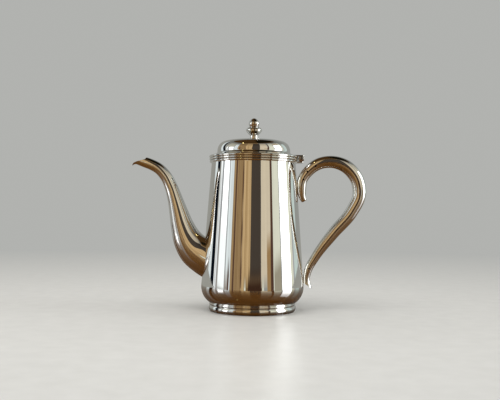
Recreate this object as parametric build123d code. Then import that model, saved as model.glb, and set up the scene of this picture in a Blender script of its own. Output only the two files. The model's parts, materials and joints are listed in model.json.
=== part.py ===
"""A silver-plated hotel coffee pot: tapered body, reeded foot and rim, swan-neck spout, hollow scroll
handle and a domed lid on a three-knuckle hinge.

Millimetres. +Z is up and the origin is on the pot's vertical axis, in the plane that the foot ring stands
on. The spout points along -X, the handle along +X, and the hinge pin lies along Y.
"""

from build123d import *
import math
import os

# ---------------------------------------------------------------- driving sizes
WALL = 0.9  # sheet that every raised, spun or stamped shell is made from

FOOT_HEIGHT = 8.4
SHOULDER_RADIUS = 18.4  # the rounded turn from the wall to the underside
SHOULDER_R, SHOULDER_Z = 32.5, 24.0  # centre of that turn
MOUTH_R, MOUTH_Z = 41.5, 151.4

LID_GAP = 0.15  # air between the closed lid and the rim
LID_EDGE_R = 44.4  # widest point of the lid's edge wire
LID_EDGE_TOP = 154.0
DOME_R = 36.4
DOME_TOP = 170.0

HINGE_X, HINGE_Z = 47.2, 151.2  # the hinge pin's axis
BARREL_R = 3.0
HINGE_HALF_WIDTH = 8.0
LID_KNUCKLE_HALF = 3.9
HINGE_LEAF = 1.1  # thickness of the two flat leaves
BARREL_SINK = 0.3  # how deep the barrel lies in each leaf
RUNNING_GAP = 0.3

# ---------------------------------------------------------------- worked out from them
_mouth_drop = MOUTH_Z - SHOULDER_Z
_mouth_in = MOUTH_R - SHOULDER_R
WALL_TILT = math.asin(SHOULDER_RADIUS / math.hypot(_mouth_in, _mouth_drop)) - math.atan2(
    _mouth_in, _mouth_drop
)
LID_BOTTOM = MOUTH_Z + LID_GAP
FROM_BOTTOM = (Align.CENTER, Align.CENTER, Align.MIN)


def body_radius(z):
    """Outer radius of the straight tapered wall at height z."""
    return MOUTH_R + (MOUTH_Z - z) * math.tan(WALL_TILT)


def lathe(*edges):
    """Solid of revolution about Z from edges, in (radius, height), that close an outline."""
    return revolve(Plane.XZ * make_face(list(edges)), Axis.Z)


def ring(*corners):
    """Solid of revolution whose outline is a polygon of (radius, height) corners."""
    return lathe(*Polyline(*corners, close=True).edges())


def rod(radius, start, direction, length):
    """A cylinder of the given length from start along direction."""
    return Plane(origin=start, z_dir=direction) * Cylinder(radius, length, align=FROM_BOTTOM)


def reed(r, bottom, top, bulge):
    """One rounded reed: an arc from bottom to top at radius r that stands proud by bulge."""
    return ThreePointArc((r, bottom), (r + bulge, (bottom + top) / 2), (r, top))


# ---------------------------------------------------------------- body, base, foot and rim
def body_outline(inset):
    """Edges of the wall's profile, moved inwards by inset, from the mouth to the foot's level."""
    turn = SHOULDER_RADIUS - inset
    floor = FOOT_HEIGHT + inset
    tilt = math.degrees(WALL_TILT)
    end = -math.degrees(math.asin((SHOULDER_Z - floor) / turn))
    top = (MOUTH_R - inset / math.cos(WALL_TILT), MOUTH_Z)
    bend = CenterArc((SHOULDER_R, SHOULDER_Z), turn, tilt, end - tilt)
    return top, Line(top, bend @ 0), bend, bend @ 1


def filled_body():
    """The body as if it were solid, for trimming what is soldered on to it."""
    top, wall, bend, low = body_outline(0)
    return lathe(wall, bend, Polyline(low, (0, FOOT_HEIGHT), (0, MOUTH_Z), top))


LEDGE_R = 37.5  # the wall turns in under the pot as far as this
STRAINER_HOLE_R = 1.4
STRAINER_PITCH = 4.4
STRAINER_Z = 53.0
STRAINER_HALF_HEIGHT, STRAINER_HALF_WIDTH = 15.0, 8.0


def strainer_drills():
    """Drills for the pierced strainer behind the spout, in staggered rows inside an oval."""
    row_step = STRAINER_PITCH * math.sqrt(3) / 2
    rows = int(STRAINER_HALF_HEIGHT / row_step)
    drills = []
    for row in range(-rows, rows + 1):
        for column in range(-3, 4):
            y = (column + 0.5 * (row % 2)) * STRAINER_PITCH
            z = row * row_step
            if (y / STRAINER_HALF_WIDTH) ** 2 + (z / STRAINER_HALF_HEIGHT) ** 2 <= 1:
                drills.append(rod(STRAINER_HOLE_R, (-40, y, STRAINER_Z + z), (-1, 0, 0), 14))
    return drills


def body_wall():
    top, wall, bend, low = body_outline(0)
    inner_top, inner_wall, inner_bend, inner_low = body_outline(WALL)
    ledge = Polyline(low, (LEDGE_R, FOOT_HEIGHT), (LEDGE_R, FOOT_HEIGHT + WALL), inner_low)
    shell = lathe(wall, bend, ledge, inner_bend, inner_wall, Line(inner_top, top))
    return shell - strainer_drills()


BASE_R = 41.4
BASE_RISE = 2.2  # how far the middle of the base is domed up


def base_plate():
    """Dished disc let in on the ledge, domed up so that only the foot touches the table."""
    bottom = FOOT_HEIGHT + WALL
    dome_r = (LEDGE_R**2 + BASE_RISE**2) / (2 * BASE_RISE)
    sweep = math.degrees(math.asin(LEDGE_R / dome_r))
    centre = (0, bottom + BASE_RISE - dome_r)
    under = CenterArc(centre, dome_r, 90, -sweep)
    over = CenterArc(centre, dome_r + WALL, 90, -sweep)
    rim = Polyline(under @ 1, (BASE_R, bottom), (BASE_R, bottom + WALL), over @ 1)
    return lathe(under, rim, over, Line(over @ 0, under @ 0))


FOOT_INNER_R = 40.4
FOOT_EDGE = (41.6, 0)  # outer edge of the flat ring that meets the table


def foot_ring():
    """Drawn wire ring that the pot stands on: a small reed over a large bead."""
    upper = reed(42.0, 6.6, FOOT_HEIGHT, 0.75)
    lower = reed(41.9, 0.5, 6.3, 1.35)
    back = Polyline(
        upper @ 1,
        (FOOT_INNER_R, FOOT_HEIGHT),
        (FOOT_INNER_R, 0.6),
        (41.0, 0),
        FOOT_EDGE,
        lower @ 0,
    )
    return lathe(lower, Line(lower @ 1, upper @ 0), upper, back)


RIM_LOW = 146.9
RIM_R = 43.3  # hollows of the upper reed, which stands a little proud of the lower one


def rim_moulding():
    """Two-reed wire soldered round the mouth."""
    split = 149.2
    lower = reed(RIM_R - 0.2, RIM_LOW, split - 0.1, 0.75)
    upper = reed(RIM_R, split + 0.1, MOUTH_Z, 0.85)
    back = Polyline(upper @ 1, (MOUTH_R, MOUTH_Z), (body_radius(RIM_LOW), RIM_LOW), lower @ 0)
    return lathe(lower, Line(lower @ 1, upper @ 0), upper, back)


# ---------------------------------------------------------------- lid
FLANGE_R = 42.6
FLANGE_TOP = 153.6  # upper face of the flange where it meets the edge wire
COVE_R, COVE_Z = 37.7, 155.9  # where the sloping flange turns up into the dome
SHOULDER_START = 158.6  # the dome's side is upright up to here
CROWN_R, CROWN_Z = 24.0, 169.3  # where the dome's shoulder runs out into its crown
SEAT_R = 6.5  # flat on top for the finial


def lid_outline(inset):
    """The lid's profile from the flange's edge to the top, moved inwards by inset."""
    edge = (FLANGE_R, FLANGE_TOP - 1.1 * inset)
    cove = (COVE_R - 0.5 * inset, COVE_Z - inset)
    side = (DOME_R - inset, COVE_Z + 2.0 - 0.5 * inset)
    start = (DOME_R - inset, SHOULDER_START)
    crown = (CROWN_R - 0.35 * inset, CROWN_Z - inset)
    seat = (SEAT_R, DOME_TOP - inset)
    return [
        Line(edge, cove),
        Spline(cove, side, tangents=[(cove[0] - edge[0], cove[1] - edge[1]), (0, 1)]),
        Line(side, start),
        Spline(start, (33.8 - 0.7 * inset, 165.7 - 0.7 * inset), crown, tangents=[(0, 1), (-1, 0.10)]),
        Spline(crown, seat, tangents=[(-1, 0.10), (-1, 0)]),
        Line(seat, (0, DOME_TOP - inset)),
    ]


FINIAL_STUD_R = 1.9
FINIAL_HOLE_R = 2.0


def lid_dome():
    outer, inner = lid_outline(0), lid_outline(WALL)
    shell = lathe(*outer, *inner, Line(outer[0] @ 0, inner[0] @ 0), Line(outer[-1] @ 1, inner[-1] @ 1))
    return shell - Pos(0, 0, DOME_TOP) * Cylinder(FINIAL_HOLE_R, 8)


def filled_lid():
    """The lid's dome as if it were solid, for trimming the hinge leaf to its flange."""
    outer = lid_outline(0)
    floor = Polyline(outer[0] @ 0, (FLANGE_R, LID_BOTTOM), (0, LID_BOTTOM), outer[-1] @ 1)
    return lathe(*outer, floor)


def lid_edge_wire():
    """Reeded wire round the lid's flange; its flat underside rests on the rim."""
    bead = reed(LID_EDGE_R - 0.9, LID_BOTTOM, LID_EDGE_TOP, 0.9)
    inner_top = (FLANGE_R + 0.3, LID_EDGE_TOP - 0.1)
    back = Polyline(bead @ 1, inner_top, (FLANGE_R, FLANGE_TOP), (FLANGE_R, LID_BOTTOM), bead @ 0)
    return lathe(bead, back)


BEZEL_R = 40.0
BEZEL_LOW = 147.6


def lid_bezel():
    """Collar under the lid that drops inside the mouth."""
    flange = lid_outline(WALL)[0]
    edge, cove = flange @ 0, flange @ 1

    def under_flange(r):
        return (r, edge.Y + (cove.Y - edge.Y) * (edge.X - r) / (edge.X - cove.X))

    inner_r = BEZEL_R - WALL
    return ring((inner_r, BEZEL_LOW), (BEZEL_R, BEZEL_LOW), under_flange(BEZEL_R), under_flange(inner_r))


STUD_BOTTOM = 160.6


def finial():
    """Cast knob: stem, wide collar and acorn top, with its threaded stud below."""
    seat = DOME_TOP
    outline = [
        Polyline((0, STUD_BOTTOM), (FINIAL_STUD_R - 0.3, STUD_BOTTOM), (FINIAL_STUD_R, STUD_BOTTOM + 0.4)),
        Line((FINIAL_STUD_R, STUD_BOTTOM + 0.4), (FINIAL_STUD_R, seat)),
        Line((FINIAL_STUD_R, seat), (4.6, seat)),
        Spline((4.6, seat), (4.15, 171.6), (3.9, 174.0), tangents=[(0, 1), (0.1, 1)]),
        Spline((3.9, 174.0), (6.1, 176.7), (8.0, 179.9), tangents=[(0.1, 1), (0, 1)]),
        Spline((8.0, 179.9), (6.8, 181.9), (4.4, 183.0), tangents=[(0, 1), (-1, 0.25)]),
        Spline((4.4, 183.0), (5.35, 186.4), (0, 192.0), tangents=[(0.25, 1), (-1, 0)]),
        Line((0, 192.0), (0, STUD_BOTTOM)),
    ]
    return lathe(*outline)


WASHER_TOP = DOME_TOP - WALL
WASHER_THICK = 1.0
NUT_HEIGHT = 3.2
NUT_FLATS = 7.0


def finial_washer():
    place = Pos(0, 0, WASHER_TOP - WASHER_THICK)
    disc = Cylinder(5.5, WASHER_THICK, align=FROM_BOTTOM)
    hole = Cylinder(FINIAL_HOLE_R, 3 * WASHER_THICK)
    return place * (chamfer(disc.edges().group_by(Axis.Z)[0], 0.3) - hole)


def finial_nut():
    place = Pos(0, 0, WASHER_TOP - WASHER_THICK - NUT_HEIGHT)
    blank = extrude(RegularPolygon(NUT_FLATS / 2, 6, major_radius=False), NUT_HEIGHT)
    return place * (blank - Cylinder(FINIAL_STUD_R, 3 * NUT_HEIGHT))


# ---------------------------------------------------------------- hinge
def barrel(radius, y0, y1):
    """A cylinder on the hinge axis from y0 to y1."""
    return rod(radius, (HINGE_X, y0, HINGE_Z), (0, 1, 0), y1 - y0)


PIN_R = 1.1
PIN_RUNNING_R = 1.15  # bore of the lid's knuckle, which turns on the pin
PIN_HEAD_R = 1.9
PIN_HEAD_THICK = 0.7
BODY_KNUCKLE_START = LID_KNUCKLE_HALF + 0.15  # leaves a little side play
LEAF_IN = 37.0
LID_LEAF_OUT = 50.0
BODY_LEAF_OUT = 49.1
LEAF_CORNER = 1.5
LEAF_OFFSET = BARREL_R - BARREL_SINK


def hinge_lid_knuckle():
    half = LID_KNUCKLE_HALF
    return barrel(BARREL_R, -half, half) - barrel(PIN_RUNNING_R, -half, half)


def hinge_body_knuckle(side):
    """One of the two outer knuckles; side is -1 or +1 along Y."""
    y0, y1 = sorted((side * BODY_KNUCKLE_START, side * HINGE_HALF_WIDTH))
    return barrel(BARREL_R, y0, y1) - barrel(PIN_R, y0, y1)


def hinge_pin():
    """Wire pin with a riveted head at each end."""
    half = HINGE_HALF_WIDTH
    end = half + PIN_HEAD_THICK
    heads = barrel(PIN_HEAD_R, half, end) + barrel(PIN_HEAD_R, -end, -half)
    pin = barrel(PIN_R, -half, half) + heads
    rims = pin.edges().group_by(Axis.Y)
    return chamfer(rims[0] + rims[-1], PIN_HEAD_THICK / 2)


def leaf(x0, x1, z0):
    """A flat leaf of the hinge, its outer corners rounded."""
    plate = Box(x1 - x0, 2 * HINGE_HALF_WIDTH, HINGE_LEAF, align=(Align.MIN, Align.CENTER, Align.MIN))
    outer = plate.edges().filter_by(Axis.Z).group_by(Axis.X)[-1]
    return Pos(x0, 0, z0) * fillet(outer, LEAF_CORNER)


def lid_side(radius):
    """A barrel along the stretch of the hinge that belongs to the lid."""
    return barrel(radius, -BODY_KNUCKLE_START, BODY_KNUCKLE_START)


def body_side(radius):
    """Barrels along the two stretches that belong to the body, and out past the leaves."""
    end = HINGE_HALF_WIDTH + 1
    return barrel(radius, BODY_KNUCKLE_START, end) + barrel(radius, -end, -BODY_KNUCKLE_START)


def hinge_lid_leaf():
    """Top leaf, soldered on the lid's flange; it covers the barrel and turns with the lid."""
    plate = leaf(LEAF_IN, LID_LEAF_OUT, HINGE_Z + LEAF_OFFSET)
    plate -= lid_side(BARREL_R) + body_side(BARREL_R + RUNNING_GAP)
    return plate - filled_lid() - lid_edge_wire()


def hinge_body_leaf():
    """Lower leaf, soldered to the rim moulding; its outer edge stops the opened lid."""
    plate = leaf(LEAF_IN, BODY_LEAF_OUT, HINGE_Z - LEAF_OFFSET - HINGE_LEAF)
    plate -= body_side(BARREL_R) + lid_side(BARREL_R + RUNNING_GAP)
    return plate - filled_body() - rim_moulding()


# ---------------------------------------------------------------- spout
# Each row: x, z, tilt of the axis above the horizontal in degrees, half height, half width.
SPOUT_SECTIONS = (
    (-38.0, 48.8, 29, 20.0, 17.4),
    (-48.0, 53.9, 33, 18.8, 16.2),
    (-58.2, 60.6, 44, 16.8, 14.5),
    (-66.2, 72.0, 61, 14.1, 12.7),
    (-70.6, 83.6, 71, 11.65, 10.9),
    (-74.3, 96.8, 75, 9.4, 9.1),
    (-78.0, 109.8, 73, 7.6, 7.5),
    (-82.4, 122.6, 66, 6.5, 6.3),
    (-87.9, 133.2, 54, 5.95, 5.9),
    (-95.5, 141.0, 38, 5.6, 5.6),
    (-102.5, 144.6, 24, 5.4, 5.3),
    (-108.5, 146.75, 19, 5.25, 5.0),
    (-113.2, 148.1, 16, 4.8, 4.7),
    (-117.8, 148.7, 4, 4.0, 3.9),
    (-121.4, 147.1, -26, 3.2, 2.9),
    (-123.3, 144.9, -45, 2.4, 2.0),
)
# The slanting mouth, from above the upper lip to below the tip of the beak.
MOUTH_CUT = (
    (-106.8, 151.9),
    (-108.2, 149.6),
    (-113.8, 148.0),
    (-117.4, 147.1),
    (-120.1, 145.8),
    (-121.6, 143.2),
)


def spout_core(inset):
    """The spout's solid form, with every section smaller by inset."""
    faces = []
    for x, z, tilt, high, wide in SPOUT_SECTIONS:
        along = (-math.cos(math.radians(tilt)), 0, math.sin(math.radians(tilt)))
        place = Plane(origin=(x, 0, z), x_dir=(0, 1, 0), z_dir=along)
        faces.append(place * Ellipse(wide - inset, high - inset))
    return loft(faces)


def mouth_cutter():
    edge = Polyline(*MOUTH_CUT)
    outside = Polyline(MOUTH_CUT[-1], (-130, 140), (-130, 165), (-104, 165), MOUTH_CUT[0])
    face = Plane.XZ * make_face([*edge.edges(), *outside.edges()])
    return extrude(face, 20, both=True)


def half_space(side):
    """Everything on one side of the pot's middle plane; side is -1 or +1 along Y."""
    return Pos(0, side * 60, 100) * Box(400, 120, 300)


def spout_half(side):
    shell = spout_core(0) - spout_core(WALL)
    shell -= mouth_cutter()
    shell -= filled_body()
    return keep_largest(shell & half_space(side))


def keep_largest(shape):
    """The biggest solid of a shape that trimming has left in several."""
    return max(shape.solids(), key=lambda s: s.volume)


# ---------------------------------------------------------------- handle
# Each row: x, z of a point on the handle's axis and the tube's radius there, from the curled upper end.
HANDLE_SECTIONS = (
    (51.1, 109.2, 2.7),
    (49.0, 113.6, 3.6),
    (48.0, 120.5, 4.7),
    (48.9, 130.4, 5.2),
    (55.0, 139.6, 5.5),
    (64.5, 146.6, 5.9),
    (77.6, 149.0, 6.1),
    (92.3, 144.6, 6.7),
    (103.2, 132.0, 6.75),
    (105.9, 116.5, 6.7),
    (98.2, 99.2, 6.4),
    (79.6, 77.1, 5.8),
    (62.2, 53.4, 4.4),
    (55.3, 40.6, 3.9),
    (53.7, 31.5, 3.3),
    (55.0, 22.0, 4.3),
)
HANDLE_END_ROUND = 1.6
FOOT_CUT = ((44.0, 32.5), (66.8, 17.7))  # the oblique cut across the handle's lower end
VENT_R = 0.9
VENTS = ((49.6, 130.7), (53.4, 138.9), (61.6, 144.2), (55.9, 42.4))


def handle_core(inset, sections=HANDLE_SECTIONS):
    axis = Spline(*[(x, 0, z) for x, z, _ in HANDLE_SECTIONS], tangents=[(-0.35, 0, 1), (0.25, 0, -1)])
    faces = []
    for x, z, radius in sections:
        spot = Vector(x, 0, z)
        place = Plane(origin=spot, x_dir=(0, 1, 0), z_dir=axis.tangent_at(spot))
        faces.append(place * Circle(radius - inset))
    return loft(faces)


def foot_cutter():
    below = make_face(Polyline(*FOOT_CUT, (55.0, 5.0), close=True))
    return extrude(Plane.XZ * below, 20, both=True)


def vent_drills():
    """Drills for the small vents, which are only in the near half."""
    return [rod(VENT_R, (x, 0, z), (0, -1, 0), 15) for x, z in VENTS]


def handle_half(side):
    outside = handle_core(0) - foot_cutter()
    x, z, _ = HANDLE_SECTIONS[0]
    outside = fillet(outside.edges().sort_by_distance((x, 0, z))[0], HANDLE_END_ROUND)
    hollow = handle_core(WALL, HANDLE_SECTIONS[1:-2]) & half_space(side)
    shell = (outside & half_space(side)) - hollow - filled_body()
    if side < 0:
        shell -= vent_drills()
    return keep_largest(shell)


# ---------------------------------------------------------------- write every piece
PIECES = {
    "body_wall": body_wall,
    "base_plate": base_plate,
    "foot_ring": foot_ring,
    "rim_moulding": rim_moulding,
    "spout_near_half": lambda: spout_half(-1),
    "spout_far_half": lambda: spout_half(1),
    "handle_near_half": lambda: handle_half(-1),
    "handle_far_half": lambda: handle_half(1),
    "lid_dome": lid_dome,
    "lid_edge_wire": lid_edge_wire,
    "lid_bezel": lid_bezel,
    "finial": finial,
    "finial_washer": finial_washer,
    "finial_nut": finial_nut,
    "hinge_body_leaf": hinge_body_leaf,
    "hinge_near_knuckle": lambda: hinge_body_knuckle(-1),
    "hinge_far_knuckle": lambda: hinge_body_knuckle(1),
    "hinge_lid_leaf": hinge_lid_leaf,
    "hinge_lid_knuckle": hinge_lid_knuckle,
    "hinge_pin": hinge_pin,
}

os.makedirs("parts", exist_ok=True)
for name, make in PIECES.items():
    export_step(make(), f"parts/{name}.step")
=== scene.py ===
"""Looks of the coffee pot: smooth silver-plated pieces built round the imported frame, and a small studio.

Outlines are in millimetres in the frame's own axes: +Z up, spout along -X, handle along +X, hinge along Y.
"""
import json
import math

import bmesh
import bpy
from mathutils import Matrix, Vector
from mathutils.kdtree import KDTree

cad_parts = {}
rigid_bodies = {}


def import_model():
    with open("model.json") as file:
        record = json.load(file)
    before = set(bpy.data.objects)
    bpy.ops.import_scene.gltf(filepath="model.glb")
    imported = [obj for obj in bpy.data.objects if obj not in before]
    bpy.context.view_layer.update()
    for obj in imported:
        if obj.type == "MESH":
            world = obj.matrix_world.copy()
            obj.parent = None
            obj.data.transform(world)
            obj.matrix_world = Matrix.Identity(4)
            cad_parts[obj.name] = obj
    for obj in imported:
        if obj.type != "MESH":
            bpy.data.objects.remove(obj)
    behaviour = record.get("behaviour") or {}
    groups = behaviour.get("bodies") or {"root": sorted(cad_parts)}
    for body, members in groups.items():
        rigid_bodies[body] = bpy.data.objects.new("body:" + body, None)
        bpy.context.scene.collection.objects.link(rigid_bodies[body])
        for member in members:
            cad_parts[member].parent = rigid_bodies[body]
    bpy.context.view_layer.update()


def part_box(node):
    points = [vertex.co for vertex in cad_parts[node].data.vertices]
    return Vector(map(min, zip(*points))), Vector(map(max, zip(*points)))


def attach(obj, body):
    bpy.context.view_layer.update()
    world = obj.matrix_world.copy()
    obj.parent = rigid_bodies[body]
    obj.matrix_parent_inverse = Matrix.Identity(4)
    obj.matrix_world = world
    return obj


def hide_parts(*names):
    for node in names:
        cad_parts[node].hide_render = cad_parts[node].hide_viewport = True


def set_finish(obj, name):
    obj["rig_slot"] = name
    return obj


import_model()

MM = 0.001
TURNS = 288  # faces round the large turned pieces


def low(node):
    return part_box(node)[0] / MM


def high(node):
    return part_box(node)[1] / MM


# ---------------------------------------------------------------- sizes read from the frame
WALL = 0.9
FOOT_HEIGHT = high("foot_ring").z
MOUTH_Z = high("body_wall").z
LID_BOTTOM = low("lid_edge_wire").z
LID_EDGE_TOP = high("lid_edge_wire").z
LID_EDGE_R = high("lid_edge_wire").y
DOME_TOP = high("lid_dome").z
FINIAL_TOP = high("finial").z
BARREL_R = (high("hinge_lid_knuckle").z - low("hinge_lid_knuckle").z) / 2
HINGE_X = (high("hinge_lid_knuckle").x + low("hinge_lid_knuckle").x) / 2
HINGE_Z = (high("hinge_lid_knuckle").z + low("hinge_lid_knuckle").z) / 2

SHOULDER_RADIUS, SHOULDER_R, SHOULDER_Z = 18.4, 32.5, 24.0
MOUTH_R = 41.5
_in, _drop = MOUTH_R - SHOULDER_R, MOUTH_Z - SHOULDER_Z
WALL_TILT = math.asin(SHOULDER_RADIUS / math.hypot(_in, _drop)) - math.atan2(_in, _drop)


def body_radius(z):
    """Outer radius of the straight tapered wall at height z."""
    return MOUTH_R + (MOUTH_Z - z) * math.tan(WALL_TILT)


# ---------------------------------------------------------------- curves
def arc(centre, radius, start, end, steps):
    """Points on a circle from start to end degrees."""
    angles = [math.radians(start + (end - start) * i / steps) for i in range(steps + 1)]
    return [(centre[0] + radius * math.cos(a), centre[1] + radius * math.sin(a)) for a in angles]


def straight(a, b, steps):
    return [tuple(p + (q - p) * i / steps for p, q in zip(a, b)) for i in range(steps + 1)]


def bow(a, b, bulge, steps=12):
    """Arc from a to b that stands out by bulge to the right of the way from a to b."""
    ax, ay, bx, by = *a, *b
    chord = math.hypot(bx - ax, by - ay)
    out = ((by - ay) / chord, -(bx - ax) / chord)
    radius = (chord**2 / 4 + bulge**2) / (2 * bulge)
    centre = ((ax + bx) / 2 + out[0] * (bulge - radius), (ay + by) / 2 + out[1] * (bulge - radius))
    start = math.atan2(ay - centre[1], ax - centre[0])
    sweep = math.atan2(by - centre[1], bx - centre[0]) - start
    sweep = (sweep + math.pi) % math.tau - math.pi
    if bulge > chord / 2:
        sweep = math.tau + sweep if sweep < 0 else sweep - math.tau
    turn = [start + sweep * i / steps for i in range(steps + 1)]
    return [(centre[0] + radius * math.cos(t), centre[1] + radius * math.sin(t)) for t in turn]


def knot_times(points):
    times = [0.0]
    for p, q in zip(points, points[1:]):
        times.append(times[-1] + math.dist(p, q))
    return [t / times[-1] for t in times]


class Curve:
    """Smooth curve through rows of numbers; share runs from 0 to 1 along the first `along` columns."""

    def __init__(self, rows, along=2, start=None, end=None):
        self.rows = rows
        self.times = knot_times([r[:along] for r in rows])
        self.slopes = self.natural_slopes()
        length = sum(math.dist(p[:along], q[:along]) for p, q in zip(rows, rows[1:]))
        for place, heading in ((0, start), (-1, end)):
            if heading:
                size = math.hypot(*heading)
                self.slopes[place] = [h / size * length for h in heading]

    def natural_slopes(self):
        rows, t, slopes = self.rows, self.times, []
        for i in range(len(rows)):
            a, b = max(i - 1, 0), min(i + 1, len(rows) - 1)
            if a == i or b == i:
                slopes.append([(rows[b][k] - rows[a][k]) / (t[b] - t[a]) for k in range(len(rows[0]))])
                continue
            before, after = t[i] - t[a], t[b] - t[i]
            slopes.append([
                ((rows[i][k] - rows[a][k]) / before * after + (rows[b][k] - rows[i][k]) / after * before)
                / (before + after)
                for k in range(len(rows[0]))
            ])
        return slopes

    def at(self, share):
        t = self.times
        i = 0
        while i < len(t) - 2 and share > t[i + 1]:
            i += 1
        span = t[i + 1] - t[i]
        s = (share - t[i]) / span
        h00, h10 = (1 + 2 * s) * (1 - s) ** 2, s * (1 - s) ** 2
        h01, h11 = s * s * (3 - 2 * s), s * s * (s - 1)
        return [
            h00 * p + h10 * span * m + h01 * q + h11 * span * n
            for p, m, q, n in zip(self.rows[i], self.slopes[i], self.rows[i + 1], self.slopes[i + 1])
        ]

    def points(self, steps):
        return [tuple(self.at(i / steps)) for i in range(steps + 1)]


def chain(*runs):
    """Runs of points joined end to end, without repeated points."""
    joined = []
    for run in runs:
        for point in run:
            if not joined or math.dist(joined[-1], point) > 1e-6:
                joined.append(tuple(point))
    if math.dist(joined[0], joined[-1]) < 1e-6:
        joined.pop()
    return joined


def eased(corners, radius, steps=5):
    """A polyline's points with every inner corner rounded by about radius."""
    points = [corners[0]]
    for a, b, c in zip(corners, corners[1:], corners[2:]):
        cut_a = min(radius, math.dist(a, b) / 2.1) / math.dist(a, b)
        cut_c = min(radius, math.dist(b, c) / 2.1) / math.dist(b, c)
        p = [b[k] + (a[k] - b[k]) * cut_a for k in range(2)]
        q = [b[k] + (c[k] - b[k]) * cut_c for k in range(2)]
        for i in range(steps + 1):
            s = i / steps
            shares = ((1 - s) ** 2, 2 * s * (1 - s), s * s)
            points.append(tuple(p[k] * shares[0] + b[k] * shares[1] + q[k] * shares[2] for k in range(2)))
    return points + [corners[-1]]


# ---------------------------------------------------------------- meshes
def piece(name, body, slot, nodes, vertices, faces, crease=38.0):
    """A mesh object from millimetre vertices, smooth but for edges sharper than crease degrees."""
    mesh = bpy.data.meshes.new(name)
    mesh.from_pydata([Vector(v) * MM for v in vertices], [], faces)
    shape = bmesh.new()
    shape.from_mesh(mesh)
    bmesh.ops.remove_doubles(shape, verts=shape.verts, dist=1e-7)
    bmesh.ops.dissolve_degenerate(shape, edges=shape.edges, dist=1e-8)
    bmesh.ops.recalc_face_normals(shape, faces=shape.faces)
    shape.to_mesh(mesh)
    shape.free()
    mesh.shade_smooth()
    mesh.set_sharp_from_angle(angle=math.radians(crease))
    obj = bpy.data.objects.new(name, mesh)
    bpy.context.scene.collection.objects.link(obj)
    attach(obj, body)
    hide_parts(*nodes)
    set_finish(obj, slot)
    return obj


def turned_mesh(outline, turns):
    """Vertices and faces of an (r, z) outline turned about Z, closed where it meets the axis."""
    vertices, faces, rings = [], [], []
    for r, z in outline:
        if r < 1e-6:
            rings.append([len(vertices)] * turns)
            vertices.append((0, 0, z))
        else:
            rings.append(list(range(len(vertices), len(vertices) + turns)))
            for i in range(turns):
                a = math.tau * i / turns
                vertices.append((r * math.cos(a), r * math.sin(a), z))
    for k in range(len(rings)):
        near, far = rings[k], rings[(k + 1) % len(rings)]
        if near[0] == near[1] and far[0] == far[1]:
            continue
        for i in range(turns):
            j = (i + 1) % turns
            corners = [near[i], near[j], far[j], far[i]]
            faces.append([c for n, c in enumerate(corners) if c not in corners[:n]])
    return vertices, faces


def turned(name, body, slot, nodes, outline, turns=TURNS):
    return piece(name, body, slot, nodes, *turned_mesh(outline, turns))


def grid_faces(rows, columns, offset=0, flip=False):
    faces = []
    for i in range(rows - 1):
        for j in range(columns - 1):
            a = offset + i * columns + j
            quad = [a, a + 1, a + columns + 1, a + columns]
            faces.append(quad[::-1] if flip else quad)
    return faces


def skinned(outer, inner):
    """A closed shell between two grids of points with the same numbers of rows and columns."""
    rows, columns = len(outer), len(outer[0])
    vertices = [p for row in outer for p in row] + [p for row in inner for p in row]
    shift = rows * columns
    faces = grid_faces(rows, columns) + grid_faces(rows, columns, shift, flip=True)
    for i in range(rows - 1):
        for j in (0, columns - 1):
            a, b = i * columns + j, (i + 1) * columns + j
            faces.append([a, b, b + shift, a + shift])
    for j in range(columns - 1):
        for i in (0, rows - 1):
            a, b = i * columns + j, i * columns + j + 1
            faces.append([a, b, b + shift, a + shift])
    return vertices, faces


def drilled(obj, drills, turns=24):
    """Cuts the holes that drills, a list of (start, direction, radius, length), make in obj."""
    vertices, faces = [], []
    for start, direction, radius, length in drills:
        shape, sides = turned_mesh([(0, 0), (radius, 0), (radius, length), (0, length)], turns)
        turn = Vector((0, 0, 1)).rotation_difference(Vector(direction)).to_matrix()
        offset = len(vertices)
        vertices += [tuple(turn @ Vector(v) + Vector(start)) for v in shape]
        faces += [[offset + n for n in f] for f in sides]
    mesh = bpy.data.meshes.new("drills")
    mesh.from_pydata([Vector(v) * MM for v in vertices], [], faces)
    shape = bmesh.new()
    shape.from_mesh(mesh)
    bmesh.ops.recalc_face_normals(shape, faces=shape.faces)
    shape.to_mesh(mesh)
    shape.free()
    cutter = bpy.data.objects.new("drills", mesh)
    bpy.context.scene.collection.objects.link(cutter)
    cut = obj.modifiers.new("holes", "BOOLEAN")
    cut.object = cutter
    cut.operation = "DIFFERENCE"
    cut.solver = "EXACT"
    bpy.context.view_layer.update()
    done = bpy.data.meshes.new_from_object(obj.evaluated_get(bpy.context.evaluated_depsgraph_get()))
    obj.modifiers.clear()
    shape = bmesh.new()
    shape.from_mesh(done)
    bmesh.ops.remove_doubles(shape, verts=shape.verts, dist=2e-6)
    bmesh.ops.dissolve_degenerate(shape, edges=shape.edges, dist=1e-7)
    shape.to_mesh(done)
    shape.free()
    obj.data = done
    bpy.data.objects.remove(cutter)
    return obj


# ---------------------------------------------------------------- body, base, foot and rim
LEDGE_R = 37.5


def body_side(inset):
    """The wall's outline from the mouth to the foot's level, moved in by inset."""
    turn = SHOULDER_RADIUS - inset
    tilt = math.degrees(WALL_TILT)
    end = -math.degrees(math.asin((SHOULDER_Z - FOOT_HEIGHT - inset) / turn))
    bend = arc((SHOULDER_R, SHOULDER_Z), turn, tilt, end, 40)
    return chain(straight((MOUTH_R - inset / math.cos(WALL_TILT), MOUTH_Z), bend[0], 48), bend)


def body_wall():
    outer, inner = body_side(0), body_side(WALL)
    ledge = [(LEDGE_R, FOOT_HEIGHT), (LEDGE_R, FOOT_HEIGHT + WALL)]
    shell = turned("pot_body", "pot", "silver_plate", ["body_wall"], chain(outer, ledge, inner[::-1]))
    return drilled(shell, strainer_drills())


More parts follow.
